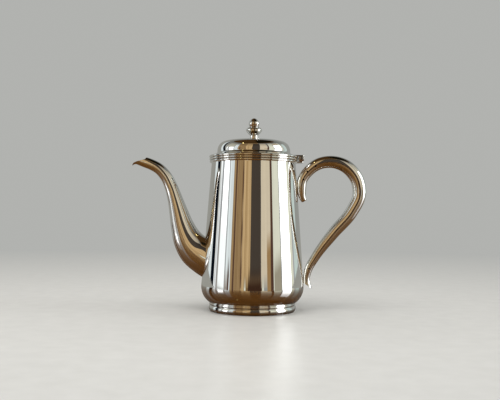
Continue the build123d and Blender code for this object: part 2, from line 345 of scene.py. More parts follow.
STRAINER_HOLE_R = 1.4
STRAINER_PITCH = 4.4
STRAINER_Z = 53.0
STRAINER_HALF_HEIGHT, STRAINER_HALF_WIDTH = 15.0, 8.0


def strainer_drills():
    """Drills for the pierced strainer behind the spout, in staggered rows inside an oval."""
    row_step = STRAINER_PITCH * math.sqrt(3) / 2
    rows = int(STRAINER_HALF_HEIGHT / row_step)
    drills = []
    for row in range(-rows, rows + 1):
        for column in range(-3, 4):
            y = (column + 0.5 * (row % 2)) * STRAINER_PITCH
            z = row * row_step
            if (y / STRAINER_HALF_WIDTH) ** 2 + (z / STRAINER_HALF_HEIGHT) ** 2 <= 1:
                drills.append(((-40, y, STRAINER_Z + z), (-1, 0, 0), STRAINER_HOLE_R, 14))
    return drills


BASE_R, BASE_RISE = 41.4, 2.2


def base_plate():
    bottom = FOOT_HEIGHT + WALL
    dome_r = (LEDGE_R**2 + BASE_RISE**2) / (2 * BASE_RISE)
    sweep = math.degrees(math.asin(LEDGE_R / dome_r))
    centre = (0, bottom + BASE_RISE - dome_r)
    under = arc(centre, dome_r, 90, 90 - sweep, 24)
    over = arc(centre, dome_r + WALL, 90, 90 - sweep, 24)
    rim = [(BASE_R, bottom), (BASE_R, bottom + WALL)]
    under[0], over[0] = (0, under[0][1]), (0, over[0][1])
    turned("pot_base", "pot", "silver_plate", ["base_plate"], chain(under, rim, over[::-1]), 192)


def foot_ring():
    """The drawn wire that the pot stands on: a small reed over a large bead."""
    lower = bow((41.9, 0.5), (41.9, 6.3), 1.35, 30)
    upper = bow((42.0, 6.6), (42.0, FOOT_HEIGHT), 0.75, 16)
    corners = [(42.0, FOOT_HEIGHT), (40.4, FOOT_HEIGHT), (40.4, 0.6), (41.0, 0), (41.6, 0), (41.9, 0.5)]
    back = eased(corners, 0.3)
    turned("foot_wire", "pot", "reeded_wire", ["foot_ring"], chain(lower, upper, back))


RIM_R = 43.3


def rim_moulding():
    base = low("rim_moulding").z
    split = 149.2
    lower = bow((RIM_R - 0.2, base), (RIM_R - 0.2, split - 0.1), 0.75, 16)
    upper = bow((RIM_R, split + 0.1), (RIM_R, MOUTH_Z), 0.85, 16)
    back = [(MOUTH_R, MOUTH_Z), (body_radius(base), base)]
    turned("rim_wire", "pot", "reeded_wire", ["rim_moulding"], chain(lower, upper, back))


# ---------------------------------------------------------------- lid
FLANGE_R, FLANGE_TOP = 42.6, 153.6
COVE_R, COVE_Z = 37.7, 155.9
DOME_R = 36.4
SHOULDER_START = 158.6
CROWN_R, CROWN_Z = 24.0, 169.3
SEAT_R = 6.5


def lid_side(inset):
    """The lid's outline from the flange's edge to the axis, moved in by inset."""
    edge = (FLANGE_R, FLANGE_TOP - 1.1 * inset)
    cove = (COVE_R - 0.5 * inset, COVE_Z - inset)
    side = (DOME_R - inset, COVE_Z + 2.0 - 0.5 * inset)
    start = (DOME_R - inset, SHOULDER_START)
    knee = (33.8 - 0.7 * inset, 165.7 - 0.7 * inset)
    crown = (CROWN_R - 0.35 * inset, CROWN_Z - inset)
    seat = (SEAT_R, DOME_TOP - inset)
    slope = (cove[0] - edge[0], cove[1] - edge[1])
    return chain(
        straight(edge, cove, 6),
        Curve([cove, side], start=slope, end=(0, 1)).points(12),
        straight(side, start, 2),
        Curve([start, knee, crown], start=(0, 1), end=(-1, 0.10)).points(48),
        Curve([crown, seat], start=(-1, 0.10), end=(-1, 0)).points(16),
        straight(seat, (0, seat[1]), 6),
    )


FINIAL_HOLE_R = 2.0


def lid_dome():
    outer, inner = lid_side(0), lid_side(WALL)
    outer = [p for p in outer if p[0] > FINIAL_HOLE_R] + [(FINIAL_HOLE_R, DOME_TOP)]
    inner = [p for p in inner if p[0] > FINIAL_HOLE_R] + [(FINIAL_HOLE_R, DOME_TOP - WALL)]
    turned("lid_shell", "lid", "lid_plate", ["lid_dome"], chain(outer, inner[::-1]))


def lid_edge_wire():
    r = LID_EDGE_R - 0.9
    bead = bow((r, LID_BOTTOM), (r, LID_EDGE_TOP), 0.9, 20)
    inner_top = (FLANGE_R + 0.3, LID_EDGE_TOP - 0.1)
    back = [inner_top, (FLANGE_R, FLANGE_TOP), (FLANGE_R, LID_BOTTOM)]
    turned("lid_wire", "lid", "reeded_wire", ["lid_edge_wire"], chain(bead, back))


def lid_bezel():
    bottom, top = low("lid_bezel").z, high("lid_bezel").z
    outer = high("lid_bezel").y
    inner = outer - WALL
    outline = eased([(inner, top - 0.4), (inner, bottom), (outer, bottom), (outer, top - 0.4)], 0.3)
    turned("lid_collar", "lid", "inner_plate", ["lid_bezel"], outline, 192)


def finial():
    """Stem, wide collar and acorn, turned in one piece with the stud below."""
    bottom = low("finial").z
    stud = [(0, bottom), (1.6, bottom), (1.9, bottom + 0.4), (1.9, DOME_TOP)]
    outline = chain(
        stud,
        [(4.6, DOME_TOP)],
        Curve([(4.6, DOME_TOP), (4.15, 171.6), (3.9, 174.0)], start=(0, 1), end=(0.1, 1)).points(14),
        Curve([(3.9, 174.0), (6.1, 176.7), (8.0, 179.9)], start=(0.1, 1), end=(0, 1)).points(20),
        Curve([(8.0, 179.9), (6.8, 181.9), (4.4, 183.0)], start=(0, 1), end=(-1, 0.25)).points(18),
        Curve([(4.4, 183.0), (5.35, 186.4), (0, FINIAL_TOP)], start=(0.25, 1), end=(-1, 0)).points(30),
    )
    turned("lid_finial", "lid", "finial_plate", ["finial"], outline, 144)


def finial_fixings():
    """Washer and hexagon nut under the dome."""
    top, bottom = high("finial_washer").z, low("finial_washer").z
    corner = eased([(3.0, bottom), (5.5, bottom), (5.5, top - 0.3)], 0.3)
    washer = chain([(2.0, top), (2.0, bottom)], corner, [(5.5, top)])
    turned("finial_disc_washer", "lid", "nut_brass", ["finial_washer"], washer, 96)
    hexagon()


def hexagon():
    """The nut: a prism with its corners turned off at both ends, and a bore."""
    top, bottom = high("finial_nut").z, low("finial_nut").z
    flats = (high("finial_nut").y - low("finial_nut").y) / 2
    bore, turns = 1.9, 96
    levels = [(bottom, 0.0), (bottom + 0.45, 1.0), (top - 0.45, 1.0), (top, 0.0)]
    vertices, faces = [], []
    rings = [(bore, z, False) for z in (top, bottom)] + [(flats, z, share) for z, share in levels]
    for radius, z, share in rings:
        for i in range(turns):
            a = math.tau * i / turns
            r = radius
            if share:
                side = (a - math.pi / 6) % (math.pi / 3) - math.pi / 6
                r = flats / math.cos(side)
            elif radius == flats:
                r = flats * 0.98
            vertices.append((r * math.cos(a + math.pi / 6), r * math.sin(a + math.pi / 6), z))
    for k in range(len(rings)):
        for i in range(turns):
            j, n = (i + 1) % turns, (k + 1) % len(rings)
            faces.append([k * turns + i, k * turns + j, n * turns + j, n * turns + i])
    piece("finial_hex_nut", "lid", "nut_brass", ["finial_nut"], vertices, faces, 25)


# ---------------------------------------------------------------- hinge
PIN_R = 1.1
PIN_HEAD_R, PIN_HEAD_THICK = 1.9, 0.7
RUNNING_GAP = 0.3


def along_hinge(name, body, nodes, outline, turns=96):
    """Turned piece about the hinge's axis, from an outline of (radius, y)."""
    vertices, faces = turned_mesh(outline, turns)
    placed = [(HINGE_X + x, z, HINGE_Z + y) for x, y, z in vertices]
    return piece(name, body, "hinge_metal", nodes, placed, faces)


def knuckle(name, body, node, bore):
    y0, y1 = low(node).y, high(node).y
    outside = eased([(bore, y0), (BARREL_R, y0), (BARREL_R, y1), (bore, y1)], 0.35)
    return along_hinge(name, body, [node], chain(outside))


def hinge_pin():
    end = high("hinge_pin").y
    half = end - PIN_HEAD_THICK
    head = eased([(0, end), (PIN_HEAD_R, end), (PIN_HEAD_R, half), (PIN_R, half)], 0.5)
    outline = chain(head, [(r, -y) for r, y in head[::-1]])
    along_hinge("hinge_rod", "pot", ["hinge_pin"], outline, 64)


def leaf_outline(x0, x1, half, shrink):
    """The leaf seen from above, (x, y), drawn in by shrink all round."""
    corner = 1.5
    x0, x1, half = x0 + shrink, x1 - shrink, half - shrink
    return chain(
        straight((x0, -half), (x1 - corner, -half), 10),
        arc((x1 - corner, -half + corner), corner, -90, 0, 8),
        arc((x1 - corner, half - corner), corner, 0, 90, 8),
        straight((x1 - corner, half), (x0, half), 10),
    )


def leaf(name, body, node, own):
    """Flat hinge leaf with softened edges, hollowed where the three knuckles lie under or over it.

    own is the side of the hinge that the leaf is soldered to: "middle" or "outer" knuckles.
    """
    (x0, y0, z0), (x1, y1, z1) = low(node), high(node)
    soft = 0.25
    levels = [(z0, soft), (z0 + 0.08, 0.08), (z0 + soft, 0), (z1 - soft, 0), (z1 - 0.08, 0.08), (z1, soft)]
    vertices, faces = [], []
    for z, shrink in levels:
        outline = leaf_outline(x0, x1, y1, shrink)
        vertices += [(x, y, z) for x, y in outline]
    count = len(outline)
    for k in range(len(levels) - 1):
        for i in range(count):
            j = (i + 1) % count
            faces.append([k * count + i, k * count + j, (k + 1) * count + j, (k + 1) * count + i])
    faces.append(list(range(count))[::-1])
    faces.append([(len(levels) - 1) * count + i for i in range(count)])
    plate = piece(name, body, "hinge_metal", [node], vertices, faces, 30)
    split = (high("hinge_lid_knuckle").y + low("hinge_far_knuckle").y) / 2
    past = y1 + 1
    if own == "middle":
        free_bands = [(-past, -split), (split, past)]
    else:
        free_bands = [(-split, split)]
    bands = [(-past, past, BARREL_R)] + [(start, end, BARREL_R + RUNNING_GAP) for start, end in free_bands]
    for start, end, radius in bands:
        drilled(plate, [((HINGE_X, start, HINGE_Z), (0, 1, 0), radius, end - start)], 96)
    return plate


def hinge():
    knuckle("hinge_middle_knuckle", "lid", "hinge_lid_knuckle", 1.15)
    knuckle("hinge_outer_knuckle_near", "pot", "hinge_near_knuckle", PIN_R)
    knuckle("hinge_outer_knuckle_far", "pot", "hinge_far_knuckle", PIN_R)
    hinge_pin()
    leaf("hinge_top_leaf", "lid", "hinge_lid_leaf", "middle")
    leaf("hinge_lower_leaf", "pot", "hinge_body_leaf", "outer")


# ---------------------------------------------------------------- spout
# Each row: x, z, tilt of the axis above the horizontal in degrees, half height, half width.
SPOUT_SECTIONS = (
    (-38.0, 48.8, 29, 20.0, 17.4),
    (-48.0, 53.9, 33, 18.8, 16.2),
    (-58.2, 60.6, 44, 16.8, 14.5),
    (-66.2, 72.0, 61, 14.1, 12.7),
    (-70.6, 83.6, 71, 11.65, 10.9),
    (-74.3, 96.8, 75, 9.4, 9.1),
    (-78.0, 109.8, 73, 7.6, 7.5),
    (-82.4, 122.6, 66, 6.5, 6.3),
    (-87.9, 133.2, 54, 5.95, 5.9),
    (-95.5, 141.0, 38, 5.6, 5.6),
    (-102.5, 144.6, 24, 5.4, 5.3),
    (-108.5, 146.75, 19, 5.25, 5.0),
    (-113.2, 148.1, 16, 4.8, 4.7),
    (-117.8, 148.7, 4, 4.0, 3.9),
    (-121.4, 147.1, -26, 3.2, 2.9),
    (-123.3, 144.9, -45, 2.4, 2.0),
)
MOUTH_CUT = (
    (-106.8, 151.9),
    (-108.2, 149.6),
    (-113.8, 148.0),
    (-117.4, 147.1),
    (-120.1, 145.8),
    (-121.6, 143.2),
)
SPOUT_RINGS, SPOUT_COLUMNS = 150, 56


def mouth_height(x):
    """Height of the mouth's edge at x; nothing of the spout stands above it."""
    if x >= MOUTH_CUT[0][0]:
        return math.inf
    for (xa, za), (xb, zb) in zip(MOUTH_CUT, MOUTH_CUT[1:]):
        if x >= xb:
            return za + (zb - za) * (x - xa) / (xb - xa)
    return -math.inf


def crossing(test, a, b):
    """Where test turns true between a, where it is false, and b."""
    for _ in range(40):
        m = (a + b) / 2
        if test(m):
            b = m
        else:
            a = m
    return b


def first(test, steps=400):
    """Smallest share at which test is true, or 1."""
    for i in range(1, steps + 1):
        if test(i / steps):
            return crossing(test, (i - 1) / steps, i / steps)
    return 1.0


def spout_grid(side, inset):
    axis = Curve(SPOUT_SECTIONS)
    columns = []
    for j in range(SPOUT_COLUMNS + 1):
        round_ = math.pi * j / SPOUT_COLUMNS
        seam = SEAM if j in (0, SPOUT_COLUMNS) and not inset else 0.0

        def point(share):
            x, z, tilt, high_, wide = axis.at(share)
            t = math.radians(tilt)
            up = (high_ - inset - seam) * math.cos(round_)
            out = side * (wide - inset) * math.sin(round_)
            return Vector((x + up * math.sin(t), out, z + up * math.cos(t)))

        def clear_of_body(share):
            p = point(share)
            return math.hypot(p.x, p.y) > body_radius(p.z)

        def past_mouth(share):
            p = point(share)
            return p.z > mouth_height(p.x)

        start, end = first(clear_of_body), first(past_mouth)
        columns.append([point(start + (end - start) * i / SPOUT_RINGS) for i in range(SPOUT_RINGS + 1)])
    return [list(row) for row in zip(*columns)]


SPOUT_SHEET = 0.75
LIP_ROUND = 0.22  # how far the mouth's edge stands out between the outer and inner faces


def spout_half(name, node, side):
    """One stamping of the spout: an open shell with a rounded lip."""
    outer, inner = spout_grid(side, 0), spout_grid(side, SPOUT_SHEET)
    edges = zip(outer[-2], outer[-1], inner[-1])
    lip = [(a + b) / 2 + ((a - before).normalized() * LIP_ROUND) for before, a, b in edges]
    outer, inner = outer + [lip], inner + [lip]
    vertices, faces = skinned(outer, inner)
    return piece(name, "pot", "spout_plate", [node], vertices, faces, 50)


# ---------------------------------------------------------------- handle
# Each row: x, z of a point on the handle's axis and the tube's radius there, from the curled upper end.
HANDLE_SECTIONS = (
    (51.1, 109.2, 2.7),
    (49.0, 113.6, 3.6),
    (48.0, 120.5, 4.7),
    (48.9, 130.4, 5.2),
    (55.0, 139.6, 5.5),
    (64.5, 146.6, 5.9),
    (77.6, 149.0, 6.1),
    (92.3, 144.6, 6.7),
    (103.2, 132.0, 6.75),
    (105.9, 116.5, 6.7),
    (98.2, 99.2, 6.4),
    (79.6, 77.1, 5.8),
    (62.2, 53.4, 4.4),
    (55.3, 40.6, 3.9),
    (53.7, 31.5, 3.3),
    (55.0, 22.0, 4.3),
)
HANDLE_END_ROUND = 1.6
FOOT_CUT = ((44.0, 32.5), (66.8, 17.7))
VENT_R = 0.9
VENTS = ((49.6, 130.7), (53.4, 138.9), (61.6, 144.2), (55.9, 42.4))
HANDLE_RINGS, HANDLE_COLUMNS = 300, 40
HANDLE_HOLLOW = (12, 285)  # the rings between which the handle is hollow
SEAM = 0.05  # depth of the soldered seam along the middle of the handle and the spout


def below_cut(p):
    (xa, za), (xb, zb) = FOOT_CUT
    return p.z < za + (zb - za) * (p.x - xa) / (xb - xa)


def handle_frame(axis, share):
    """Centre, direction, outward normal in the pot's middle plane, and radius at a share of the handle."""
    step = 1e-4
    x, z, radius = axis.at(share)
    (xa, za, _), (xb, zb, _) = axis.at(max(share - step, 0)), axis.at(min(share + step, 1))
    along = Vector((xb - xa, 0, zb - za)).normalized()
    return Vector((x, 0, z)), along, Vector((-along.z, 0, along.x)), radius


def handle_column(axis, side, j):
    """Points along one line of the handle from tip to foot: its end cap, its tube, and the hollow inside."""
    turn = math.pi * j / HANDLE_COLUMNS
    seam = SEAM if j in (0, HANDLE_COLUMNS) else 0.0

    def ray(normal):
        return normal * math.cos(turn) + Vector((0, side * math.sin(turn), 0))

    def point(share, inset=0.0):
        centre, _, normal, radius = handle_frame(axis, share)
        return centre + ray(normal) * (radius - inset - seam)

    tip, along, _, _ = handle_frame(axis, 0)
    rounding = HANDLE_END_ROUND
    start = first(lambda share: (handle_frame(axis, share)[0] - tip).dot(along) > rounding)
    _, _, normal, radius = handle_frame(axis, start)
    cap = [tip]
    cap += [tip + ray(normal) * (radius - rounding) * k / 4 for k in range(1, 5)]
    for k in range(1, 9):
        a = math.pi / 2 * k / 9
        reach = radius - seam - rounding + rounding * math.sin(a)
        cap.append(tip + along * rounding * (1 - math.cos(a)) + ray(normal) * reach)
    end = first(lambda share: below_cut(point(share)))
    shares = [start + (end - start) * i / HANDLE_RINGS for i in range(HANDLE_RINGS + 1)]
    tube = [point(share) for share in shares]
    foot_share = first(lambda share: below_cut(handle_frame(axis, share)[0]))
    middle = handle_frame(axis, foot_share)[0]
    foot = [tube[-1] + (middle - tube[-1]) * k / 5 for k in range(1, 6)]
    bore = [point(share, WALL - seam) for share in shares[HANDLE_HOLLOW[0]:HANDLE_HOLLOW[1] + 1]]
    return cap + tube + foot, bore, len(cap) + HANDLE_HOLLOW[0]


def handle_half(name, node, side):
    """One stamping of the hollow handle: a closed half tube, open only at its vents."""
    axis = Curve(HANDLE_SECTIONS)
    built = [handle_column(axis, side, j) for j in range(HANDLE_COLUMNS + 1)]
    outer = [list(row) for row in zip(*[column for column, _, _ in built])]
    bore = [list(row) for row in zip(*[inside for _, inside, _ in built])]
    first_hollow = built[0][2]
    last_hollow = first_hollow + len(bore) - 1
    columns, last = HANDLE_COLUMNS + 1, HANDLE_COLUMNS
    vertices = [p for row in outer + bore for p in row]
    shift = len(outer) * columns
    faces = grid_faces(len(outer), columns) + grid_faces(len(bore), columns, shift, flip=True)

    def outside(i, j):
        return i * columns + j

    def inside(i, j):
        return shift + (i - first_hollow) * columns + j

    for i in range(len(outer) - 1):
        left, right = (outside(i, 0), outside(i + 1, 0)), (outside(i, last), outside(i + 1, last))
        if first_hollow <= i < last_hollow:
            faces.append([left[0], left[1], inside(i + 1, 0), inside(i, 0)])
            faces.append([right[0], right[1], inside(i + 1, last), inside(i, last)])
        elif i + 1 == first_hollow:
            faces.append([left[0], left[1], inside(i + 1, 0), inside(i + 1, last), right[1], right[0]])
        elif i == last_hollow:
            faces.append([left[0], left[1], right[1], right[0], inside(i, last), inside(i, 0)])
        else:
            faces.append([left[0], left[1], right[1], right[0]])
    faces.append([inside(first_hollow, j) for j in range(columns)])
    faces.append([inside(last_hollow, j) for j in range(columns)])
    return piece(name, "pot", "handle_plate", [node], vertices, faces, 45)


# ---------------------------------------------------------------- materials
def new_material(name):
    material = bpy.data.materials.new(name)
    material.use_nodes = True
    tree = material.node_tree
    tree.nodes.clear()
    out = tree.nodes.new("ShaderNodeOutputMaterial")
    shader = tree.nodes.new("ShaderNodeBsdfPrincipled")
    tree.links.new(shader.outputs[0], out.inputs[0])
    return material, tree, shader


def noise(tree, coordinates, scale, detail, stretch=(1, 1, 1)):
    mapping = tree.nodes.new("ShaderNodeMapping")
    mapping.inputs["Scale"].default_value = stretch
    texture = tree.nodes.new("ShaderNodeTexNoise")
    texture.inputs["Scale"].default_value = scale
    texture.inputs["Detail"].default_value = detail
    tree.links.new(coordinates, mapping.inputs["Vector"])
    tree.links.new(mapping.outputs[0], texture.inputs["Vector"])
    return texture.outputs["Fac"]


def remap(tree, value, from_low, from_high, to_low, to_high):
    n = tree.nodes.new("ShaderNodeMapRange")
    n.inputs["From Min"].default_value = from_low
    n.inputs["From Max"].default_value = from_high
    n.inputs["To Min"].default_value = to_low
    n.inputs["To Max"].default_value = to_high
    tree.links.new(value, n.inputs["Value"])
    return n.outputs[0]


def maths(tree, operation, a, b, clamp=False):
    n = tree.nodes.new("ShaderNodeMath")
    n.operation = operation
    n.use_clamp = clamp
    for socket, value in zip(n.inputs, (a, b)):
        if isinstance(value, (int, float)):
            socket.default_value = value
        else:
            tree.links.new(value, socket)
    return n.outputs[0]


def mixed(tree, factor, a, b):
    n = tree.nodes.new("ShaderNodeMix")
    n.data_type = "RGBA"
    tree.links.new(factor, n.inputs["Factor"])
    for name, value in (("A", a), ("B", b)):
        socket = [s for s in n.inputs if s.name == name and s.type == "RGBA"][0]
        if isinstance(value, tuple):
            socket.default_value = value
        else:
            tree.links.new(value, socket)
    return [s for s in n.outputs if s.type == "RGBA"][0]


SILVER = (0.93, 0.92, 0.895, 1)
# Near-black colour used for the painted shade in grooves and in the handle's bore, and for a faint random
# tarnish bloom.
GROOVE_SHADE_AND_TARNISH = (0.020, 0.016, 0.012, 1)


def silver(name, smooth=0.014, wipe=(40, 40, 4000), wave_height=0.00006):
    """Mirror-polished silver plate: near-black painted shade in the grooves, a faint tarnish bloom at
    random, faint wiping marks, slight waviness.
    """
    material, tree, shader = new_material(name)
    where = tree.nodes.new("ShaderNodeTexCoord").outputs["Object"]
    hollow = tree.nodes.new("ShaderNodeAttribute")
    hollow.attribute_name = "hollow"
    # Painted shade: the hollow attribute darkens grooves and the handle's bore towards the near-black
    # colour, mottled a little by noise.
    painted_shade_mottle = remap(tree, noise(tree, where, 700, 3), 0.3, 0.7, 0.7, 1.0)
    painted_groove_shade = maths(tree, "MULTIPLY", hollow.outputs["Fac"], painted_shade_mottle)
    bloom = remap(tree, noise(tree, where, 90, 4), 0.5, 0.8, 0.0, 0.05)
    groove_shade_and_bloom = maths(tree, "ADD", painted_groove_shade, bloom, clamp=True)
    tree.links.new(mixed(tree, groove_shade_and_bloom, SILVER, GROOVE_SHADE_AND_TARNISH), shader.inputs["Base Color"])
    marks = noise(tree, where, 1.0, 3, wipe)
    haze = remap(tree, noise(tree, where, 35, 3), 0.4, 0.75, smooth, smooth * 3)
    rough = maths(tree, "ADD", haze, remap(tree, marks, 0.6, 0.85, 0.0, 0.03))
    rough = maths(tree, "ADD", rough, maths(tree, "MULTIPLY", groove_shade_and_bloom, 0.25))
    tree.links.new(rough, shader.inputs["Roughness"])
    shader.inputs["Metallic"].default_value = 1.0
    wave = tree.nodes.new("ShaderNodeBump")
    wave.inputs["Strength"].default_value = 1.0
    wave.inputs["Distance"].default_value = wave_height
    tree.links.new(noise(tree, where, 1.0, 1, (55, 55, 22)), wave.inputs["Height"])
    scratch = tree.nodes.new("ShaderNodeBump")
    scratch.inputs["Strength"].default_value = 0.02
    scratch.inputs["Distance"].default_value = 0.00005
    tree.links.new(marks, scratch.inputs["Height"])
    tree.links.new(wave.outputs[0], scratch.inputs["Normal"])
    tree.links.new(scratch.outputs[0], shader.inputs["Normal"])
    return material


def brass(name):
    material, tree, shader = new_material(name)
    where = tree.nodes.new("ShaderNodeTexCoord").outputs["Object"]
    cloud = remap(tree, noise(tree, where, 500, 4), 0.35, 0.7, 0.0, 1.0)
    colour = mixed(tree, cloud, (0.80, 0.62, 0.34, 1), (0.52, 0.37, 0.19, 1))
    tree.links.new(colour, shader.inputs["Base Color"])
    tree.links.new(remap(tree, cloud, 0, 1, 0.22, 0.42), shader.inputs["Roughness"])
    shader.inputs["Metallic"].default_value = 1.0
    turning = tree.nodes.new("ShaderNodeBump")
    turning.inputs["Strength"].default_value = 0.1
    turning.inputs["Distance"].default_value = 0.0001
    tree.links.new(noise(tree, where, 1.0, 2, (300, 300, 6000)), turning.inputs["Height"])
    tree.links.new(turning.outputs[0], shader.inputs["Normal"])
    return material


def inside_handle(obj):
    """Indices of the vertices of the handle's bore, which only its vents show."""
    axis = Curve(HANDLE_SECTIONS)
    samples, first_hollow, last_hollow = 400, 20, 380
    spots = KDTree(samples + 1)
    radii = []
    for i in range(samples + 1):
        x, z, radius = axis.at(i / samples)
        spots.insert(Vector((x, 0, z)) * MM, i)
        radii.append(radius * MM)
    spots.balance()
    found = set()
    for v in obj.data.vertices:
        _, i, reach = spots.find(v.co)
        if first_hollow < i < last_hollow and reach < radii[i] - WALL * MM / 3:
            found.add(v.index)
    return found


SPREAD_LOSS = 0.72  # what is left of a groove's painted shade one vertex away


def mark_hollows(obj, gain=1.0, spread=1):
    """Stores how deep each vertex lies in a groove, 0 to 1, as the attribute hollow, which the silver
    finishes darken as painted shade.
    """
    mesh = obj.data
    shape = bmesh.new()
    shape.from_mesh(mesh)
    shape.verts.ensure_lookup_table()
    depth = []
    for v in shape.verts:
        ways = [e.other_vert(v).co - v.co for e in v.link_edges]
        slopes = [d.normalized().dot(v.normal) for d in ways if d.length > 1e-9]
        rise, fall = max([0.0] + slopes), min([0.0] + slopes)
        depth.append(max(0.0, rise + fall * 1.5))
    for _ in range(spread):
        beside = [[depth[e.other_vert(v).index] for e in v.link_edges] for v in shape.verts]
        depth = [max(own, SPREAD_LOSS * max(near, default=0.0)) for own, near in zip(depth, beside)]
    shape.free()
    values = [min(1.0, gain * d) for d in depth]
    # Painted shade: the handle's bore, seen only through the vents, is set fully dark.
    if obj.data.name.startswith("handle_shell"):
        for i in inside_handle(obj):
            values[i] = 1.0
    attribute = mesh.attributes.new("hollow", "FLOAT", "POINT")
    attribute.data.foreach_set("value", values)


# ---------------------------------------------------------------- build
body_wall()
base_plate()
foot_ring()
rim_moulding()
lid_dome()
lid_edge_wire()
lid_bezel()
finial()
finial_fixings()
hinge()
spout_half("spout_shell_near", "spout_near_half", -1)
spout_half("spout_shell_far", "spout_far_half", 1)
handle_half("handle_shell_near", "handle_near_half", -1)
handle_half("handle_shell_far", "handle_far_half", 1)
drilled(bpy.data.objects["handle_shell_near"], [((x, 0, z), (0, -1, 0), VENT_R, 15) for x, z in VENTS])

FINISHES = {
    "silver_plate": silver("silver_plate"),
    "lid_plate": silver("lid_silver"),
    "reeded_wire": silver("wire_silver", wave_height=0.00002),
    "finial_plate": silver("finial_silver", wave_height=0.00002),
    "spout_plate": silver("spout_silver", wipe=(900, 900, 60)),
    "handle_plate": silver("handle_silver", wipe=(900, 900, 900)),
    "hinge_metal": silver("hinge_silver", smooth=0.05),
    "inner_plate": silver("inner_silver", smooth=0.12),
    "nut_brass": brass("turned_brass"),
}
for obj in bpy.context.scene.objects:
    if obj.type == "MESH" and "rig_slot" in obj:
        mark_hollows(obj)
        obj.data.materials.clear()
        obj.data.materials.append(FINISHES[obj["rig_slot"]])


# ---------------------------------------------------------------- studio
def srgb(r, g, b, gain=1.0):
    """Linear colour from 0-255 display values."""
    return tuple(gain * ((c / 255) ** 2.2) for c in (r, g, b)) + (1.0,)


BACKDROP = srgb(176, 177, 174)
FLOOR_FADE = (0.25, 1.3)  # metres from the pot over which the floor runs into the backdrop
TABLE_END = (0.30, 0.36)  # metres behind the pot over which the mirrored table gives way to a grey wall
WALL_GREY = srgb(152, 152, 146)


def floor():
    """A pale seamless floor, mirrored in the silver as a varnished table with painted shade near the pot and
    a grey wall behind.
    """
    mesh = bpy.data.meshes.new("floor")
    rings, turns = [0.0, 0.3, 0.8, 2.0, 8.0], 64
    vertices, faces = turned_mesh([(r / MM, 0) for r in rings], turns)
    faces = faces[: turns * (len(rings) - 1)]
    mesh.from_pydata([Vector(v) * MM for v in vertices], [], faces)
    obj = bpy.data.objects.new("floor", mesh)
    bpy.context.scene.collection.objects.link(obj)
    material, tree, shader = new_material("studio_floor")
    where = tree.nodes.new("ShaderNodeTexCoord").outputs["Object"]
    distance = tree.nodes.new("ShaderNodeVectorMath")
    distance.operation = "LENGTH"
    tree.links.new(where, distance.inputs[0])
    away = distance.outputs["Value"]
    grain = remap(tree, noise(tree, where, 60, 4), 0.3, 0.7, 0.0, 1.0)
    plain = mixed(tree, grain, (0.56, 0.55, 0.52, 1), (0.60, 0.59, 0.56, 1))
    tree.links.new(plain, shader.inputs["Base Color"])
    shader.inputs["Roughness"].default_value = 0.4
    haze = tree.nodes.new("ShaderNodeEmission")
    haze.inputs["Color"].default_value = BACKDROP
    seamless = tree.nodes.new("ShaderNodeMixShader")
    tree.links.new(remap(tree, away, *FLOOR_FADE, 0.0, 1.0), seamless.inputs[0])
    tree.links.new(shader.outputs[0], seamless.inputs[1])
    tree.links.new(haze.outputs[0], seamless.inputs[2])
    table = tree.nodes.new("ShaderNodeBsdfPrincipled")
    planks = remap(tree, noise(tree, where, 1.0, 4, (12, 400, 1)), 0.3, 0.7, 0.0, 1.0)
    # Painted shade: the mirrored table is darker close to the pot and lighter further out.
    near = mixed(tree, planks, (0.058, 0.022, 0.004, 1), (0.090, 0.038, 0.009, 1))
    far = mixed(tree, planks, (0.080, 0.034, 0.007, 1), (0.120, 0.058, 0.014, 1))
    table_grain_and_painted_shade = mixed(tree, remap(tree, away, 0.06, 0.5, 0.0, 1.0), near, far)
    tree.links.new(table_grain_and_painted_shade, table.inputs["Base Color"])
    table.inputs["Roughness"].default_value = 0.07
    wall = tree.nodes.new("ShaderNodeEmission")
    wall.inputs["Color"].default_value = WALL_GREY
    depth = tree.nodes.new("ShaderNodeSeparateXYZ")
    tree.links.new(where, depth.inputs[0])
    mirrored = tree.nodes.new("ShaderNodeMixShader")
    tree.links.new(remap(tree, depth.outputs["Y"], *TABLE_END, 0.0, 1.0), mirrored.inputs[0])
    tree.links.new(table.outputs[0], mirrored.inputs[1])
    tree.links.new(wall.outputs[0], mirrored.inputs[2])
    choice = tree.nodes.new("ShaderNodeMixShader")
    tree.links.new(tree.nodes.new("ShaderNodeLightPath").outputs["Is Glossy Ray"], choice.inputs[0])
    tree.links.new(seamless.outputs[0], choice.inputs[1])
    tree.links.new(mirrored.outputs[0], choice.inputs[2])
    out = [n for n in tree.nodes if n.type == "OUTPUT_MATERIAL"][0]
    tree.links.new(choice.outputs[0], out.inputs[0])
    obj.data.materials.append(material)


WALL_RIGHT = srgb(150, 152, 148)
WINDOW = srgb(250, 253, 255, 5.0)
WINDOW_LEFT = srgb(240, 246, 247, 1.25)
WINDOW_STREAK = srgb(158, 150, 142)
PALE = srgb(222, 232, 234)
PALE_BRIGHT = srgb(222, 232, 234, 1.1)
PALE_CYAN = srgb(196, 212, 208)
GREY_CREAM = srgb(190, 188, 172)
FRAME_GREY = srgb(160, 162, 165)
NAVY = srgb(16, 22, 30)
DARK_WOOD = srgb(84, 62, 52)
DOORWAY = srgb(72, 65, 58)
THRESHOLD = srgb(62, 44, 34)
CREAM = srgb(222, 223, 205)
CREAM_LOW = srgb(158, 152, 134)
BEIGE = srgb(210, 197, 172)
OAK_DARK, OAK_LIGHT = srgb(156, 126, 86), srgb(212, 182, 136)
OAK_SHADED_DARK, OAK_SHADED_LIGHT = srgb(122, 96, 64), srgb(172, 144, 106)
CEILING = srgb(96, 70, 42)
CEILING_DARK = srgb(36, 34, 24)
LAMP = srgb(255, 232, 150, 6.0)
LAMP_BEARING, LAMP_LIFT, LAMP_RADIUS = -50, 56, 2.0
DIMMING = (26, 52, 1.0, 0.5)  # the walls darken between these two lifts, from one strength to the other

